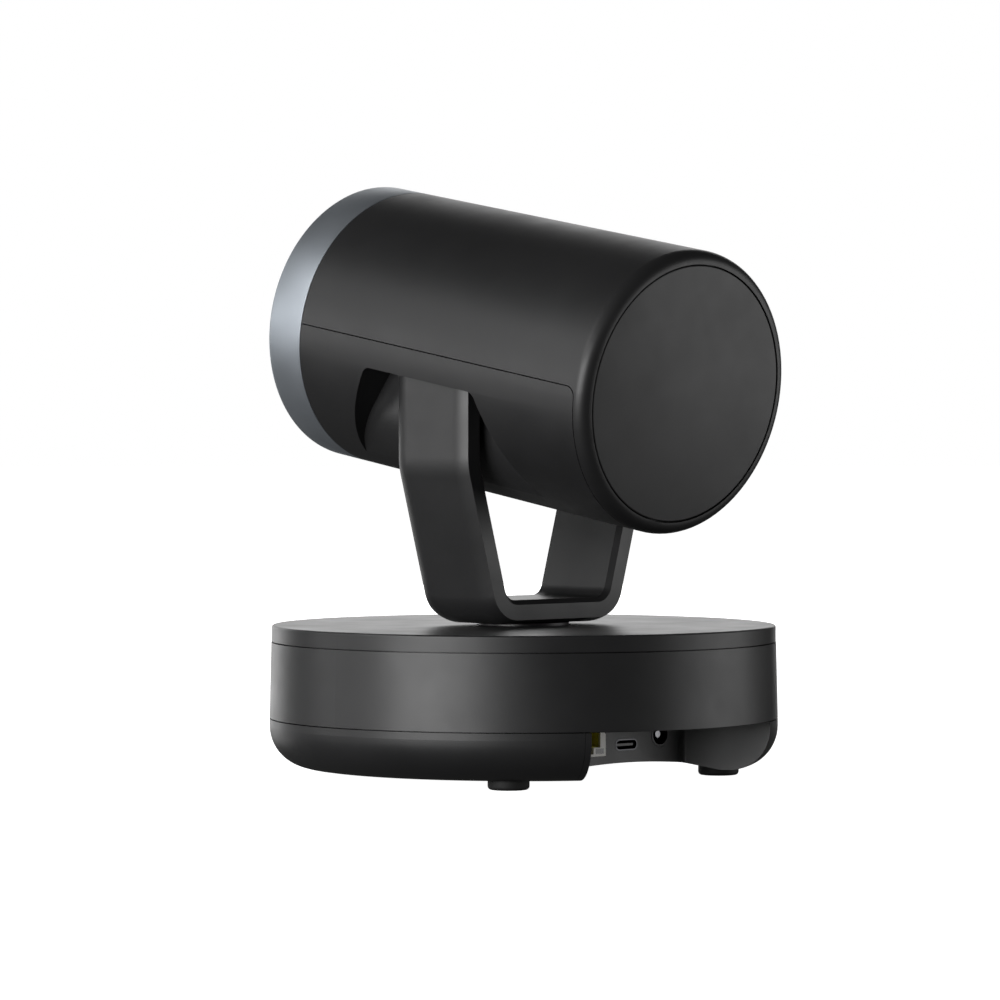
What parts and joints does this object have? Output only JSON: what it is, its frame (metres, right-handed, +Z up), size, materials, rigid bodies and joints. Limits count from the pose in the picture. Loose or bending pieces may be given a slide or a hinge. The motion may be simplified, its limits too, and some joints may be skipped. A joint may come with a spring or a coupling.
{
  "type": "pan tilt zoom camera",
  "caption": "Desktop pan-tilt-zoom conference camera: cylindrical head with a metal front ring, held in a U-shaped yoke on a round drum base with a recessed port bay.",
  "frame": {"origin": "centre of the base on the surface it stands on, on the pan axis", "axes": "+Z up along the pan axis, -Y the way the lens looks, +Y the port side, +X along the tilt axis"},
  "size_m": [0.15, 0.15, 0.1751],
  "materials": {
    "black_plastic": "fine matt texture",
    "dark_plastic": "smooth matt",
    "gear_plastic": "natural moulded",
    "foot_rubber": "matt",
    "steel": "bright zinc",
    "blackened_steel": "dark plated",
    "sheet_aluminium": "rolled sheet",
    "ring_aluminium": "satin anodised blue-grey",
    "brass": "turned",
    "circuit_board": "solder resist",
    "ivory_plastic": "moulded",
    "dark_lens": "clear over dark",
    "infrared_window": "polished dark",
    "light_pipe": "diffusing",
    "optical_glass": "coated"
  },
  "bodies": {
    "base": {"base_tray": "black_plastic", "base_band": "black_plastic", "base_top_cover": "black_plastic", "port_bay": "black_plastic", "rubber_feet": "foot_rubber", "casing_screws": "steel", "tripod_insert": "brass", "base_chassis": "sheet_aluminium", "interface_board": "circuit_board", "board_screws": "steel", "ethernet_jack": "ivory_plastic", "ethernet_contacts": "brass", "ethernet_leds": "dark_lens", "usb_c_shell": "blackened_steel", "usb_c_tongue": "dark_plastic", "dc_jack_body": "dark_plastic", "dc_jack_pin": "steel", "pan_motor": "steel", "pan_bearing_outer": "steel", "pan_bearing_balls": "steel", "ir_window": "infrared_window", "status_light": "light_pipe"},
    "pan_drive": {"pan_pinion": "brass"},
    "turning_yoke": {"yoke": "black_plastic", "yoke_cable_cover": "dark_plastic", "neck_hub": "dark_plastic", "pan_bearing_inner": "steel", "pan_gear": "gear_plastic", "retaining_ring": "steel", "yoke_screws": "steel", "tilt_stub_left": "steel", "tilt_stub_right": "steel", "stub_nuts": "brass", "tilt_gear": "gear_plastic"},
    "head": {"upper_shell": "black_plastic", "lower_shell": "black_plastic", "rear_cap": "black_plastic", "front_ring": "ring_aluminium", "front_bezel": "dark_plastic", "head_chassis": "sheet_aluminium", "tilt_bushes": "brass", "lens_barrel": "dark_plastic", "front_lens": "optical_glass", "lens_retainer": "dark_plastic", "rear_lens": "optical_glass", "sensor_board": "circuit_board", "guide_rods": "steel", "zoom_motor": "steel", "focus_motor": "steel", "tilt_motor": "steel", "processor_board": "circuit_board", "heat_sink": "sheet_aluminium", "chassis_screws": "steel", "shell_screws": "steel"},
    "tilt_drive": {"tilt_pinion": "brass"},
    "zoom_cell": {"zoom_group": "dark_plastic"},
    "focus_cell": {"focus_group": "dark_plastic"},
    "zoom_lead_screw": {"zoom_screw": "steel"},
    "focus_lead_screw": {"focus_screw": "steel"}
  },
  "joints": [
    {"name": "pan", "type": "hinge", "parent": "base", "child": "turning_yoke", "pos_m": [0, 0, 0.0389], "axis": [0, 0, 1], "range_deg": [-170, 170]},
    {"name": "pan_pinion_spin", "type": "hinge", "parent": "base", "child": "pan_drive", "pos_m": [0, -0.028, 0.03], "axis": [0, 0, 1], "range_deg": [-690, 690]},
    {"name": "tilt", "type": "hinge", "parent": "turning_yoke", "child": "head", "pos_m": [0, 0, 0.1236], "axis": [-1, 0, 0], "range_deg": [-38, 16]},
    {"name": "tilt_pinion_spin", "type": "hinge", "parent": "head", "child": "tilt_drive", "pos_m": [0, 0.01974, 0.12037], "axis": [-1, 0, 0], "range_deg": [-100, 43]},
    {"name": "zoom", "type": "slide", "parent": "head", "child": "zoom_cell", "axis": [0, -0.9869, 0.1616], "range_m": [0, 0.009]},
    {"name": "focus", "type": "slide", "parent": "head", "child": "focus_cell", "axis": [0, -0.9869, 0.1616], "range_m": [-0.0018, 0.0022]},
    {"name": "zoom_screw_spin", "type": "hinge", "parent": "head", "child": "zoom_lead_screw", "pos_m": [0.0083, -0.0184, 0.13502], "axis": [0, -0.9869, 0.1616], "range_deg": [-20, 1100]},
    {"name": "focus_screw_spin", "type": "hinge", "parent": "head", "child": "focus_lead_screw", "pos_m": [-0.0083, -0.0184, 0.13502], "axis": [0, -0.9869, 0.1616], "range_deg": [-230, 280]}
  ],
  "couplings": [
    {"joint": "pan_pinion_spin", "follows": "pan", "ratio": -4},
    {"joint": "tilt_pinion_spin", "follows": "tilt", "ratio": 2.5714},
    {"joint": "zoom_screw_spin", "follows": "zoom", "rad_per_m": 2094.4},
    {"joint": "focus_screw_spin", "follows": "focus", "rad_per_m": 2094.4}
  ]
}
